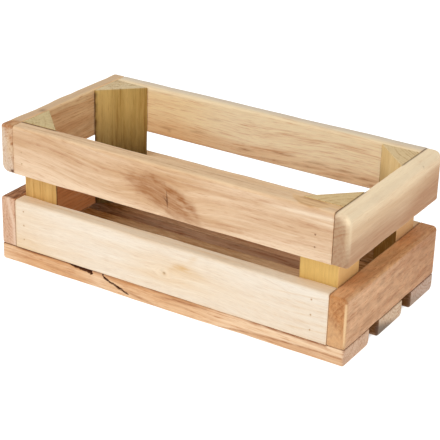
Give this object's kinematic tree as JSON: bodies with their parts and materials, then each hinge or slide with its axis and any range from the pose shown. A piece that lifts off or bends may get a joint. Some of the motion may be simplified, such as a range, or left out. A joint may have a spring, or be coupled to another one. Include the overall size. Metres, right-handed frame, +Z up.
{
  "type": "storage box",
  "caption": "Open rectangular storage crate of softwood slats nailed to triangular corner posts, with hand gaps between the upper and lower slats and a slatted base.",
  "frame": {"origin": "on the floor under the middle of the crate", "axes": "+X along the crate to its right end, +Y from its front to its rear, +Z up"},
  "size_m": [0.405, 0.196, 0.1523],
  "materials": {
    "cream_wood": "bare sawn softwood, pale cream",
    "tan_wood": "bare sawn softwood, light tan with reddish grain",
    "brown_wood": "bare sawn heartwood, reddish brown",
    "golden_wood": "bare sawn softwood, golden yellow",
    "nail_steel": "dull wire nail"
  },
  "bodies": {
    "root": {"post_front_left": "golden_wood", "post_front_right": "golden_wood", "post_rear_right": "golden_wood", "post_rear_left": "golden_wood", "lower_front_slat": "cream_wood", "upper_front_slat": "tan_wood", "lower_right_slat": "tan_wood", "upper_right_slat": "cream_wood", "lower_rear_slat": "brown_wood", "upper_rear_slat": "tan_wood", "lower_left_slat": "brown_wood", "upper_left_slat": "brown_wood", "base_front_slat": "tan_wood", "base_middle_slat": "cream_wood", "base_rear_slat": "tan_wood", "nail_lower_front_slat_at_front_left_1": "nail_steel", "nail_lower_front_slat_at_front_left_2": "nail_steel", "nail_lower_front_slat_at_front_left_3": "nail_steel", "nail_lower_front_slat_at_front_right_1": "nail_steel", "nail_lower_front_slat_at_front_right_2": "nail_steel", "nail_lower_front_slat_at_front_right_3": "nail_steel", "nail_upper_front_slat_at_front_left_1": "nail_steel", "nail_upper_front_slat_at_front_left_2": "nail_steel", "nail_upper_front_slat_at_front_right_1": "nail_steel", "nail_upper_front_slat_at_front_right_2": "nail_steel", "nail_lower_right_slat_at_front_right_1": "nail_steel", "nail_lower_right_slat_at_front_right_2": "nail_steel", "nail_lower_right_slat_at_rear_right_1": "nail_steel", "nail_lower_right_slat_at_rear_right_2": "nail_steel", "nail_upper_right_slat_at_front_right_1": "nail_steel", "nail_upper_right_slat_at_front_right_2": "nail_steel", "nail_upper_right_slat_at_rear_right_1": "nail_steel", "nail_upper_right_slat_at_rear_right_2": "nail_steel", "nail_lower_rear_slat_at_rear_right_1": "nail_steel", "nail_lower_rear_slat_at_rear_right_2": "nail_steel", "nail_lower_rear_slat_at_rear_right_3": "nail_steel", "nail_lower_rear_slat_at_rear_left_1": "nail_steel", "nail_lower_rear_slat_at_rear_left_2": "nail_steel", "nail_lower_rear_slat_at_rear_left_3": "nail_steel", "nail_upper_rear_slat_at_rear_right_1": "nail_steel", "nail_upper_rear_slat_at_rear_right_2": "nail_steel", "nail_upper_rear_slat_at_rear_left_1": "nail_steel", "nail_upper_rear_slat_at_rear_left_2": "nail_steel", "nail_lower_left_slat_at_rear_left_1": "nail_steel", "nail_lower_left_slat_at_rear_left_2": "nail_steel", "nail_lower_left_slat_at_front_left_1": "nail_steel", "nail_lower_left_slat_at_front_left_2": "nail_steel", "nail_upper_left_slat_at_rear_left_1": "nail_steel", "nail_upper_left_slat_at_rear_left_2": "nail_steel", "nail_upper_left_slat_at_front_left_1": "nail_steel", "nail_upper_left_slat_at_front_left_2": "nail_steel", "nail_base_front_slat_left": "nail_steel", "nail_base_front_slat_right": "nail_steel", "nail_base_middle_slat_left": "nail_steel", "nail_base_middle_slat_right": "nail_steel", "nail_base_rear_slat_left": "nail_steel", "nail_base_rear_slat_right": "nail_steel"}
  },
  "joints": []
}
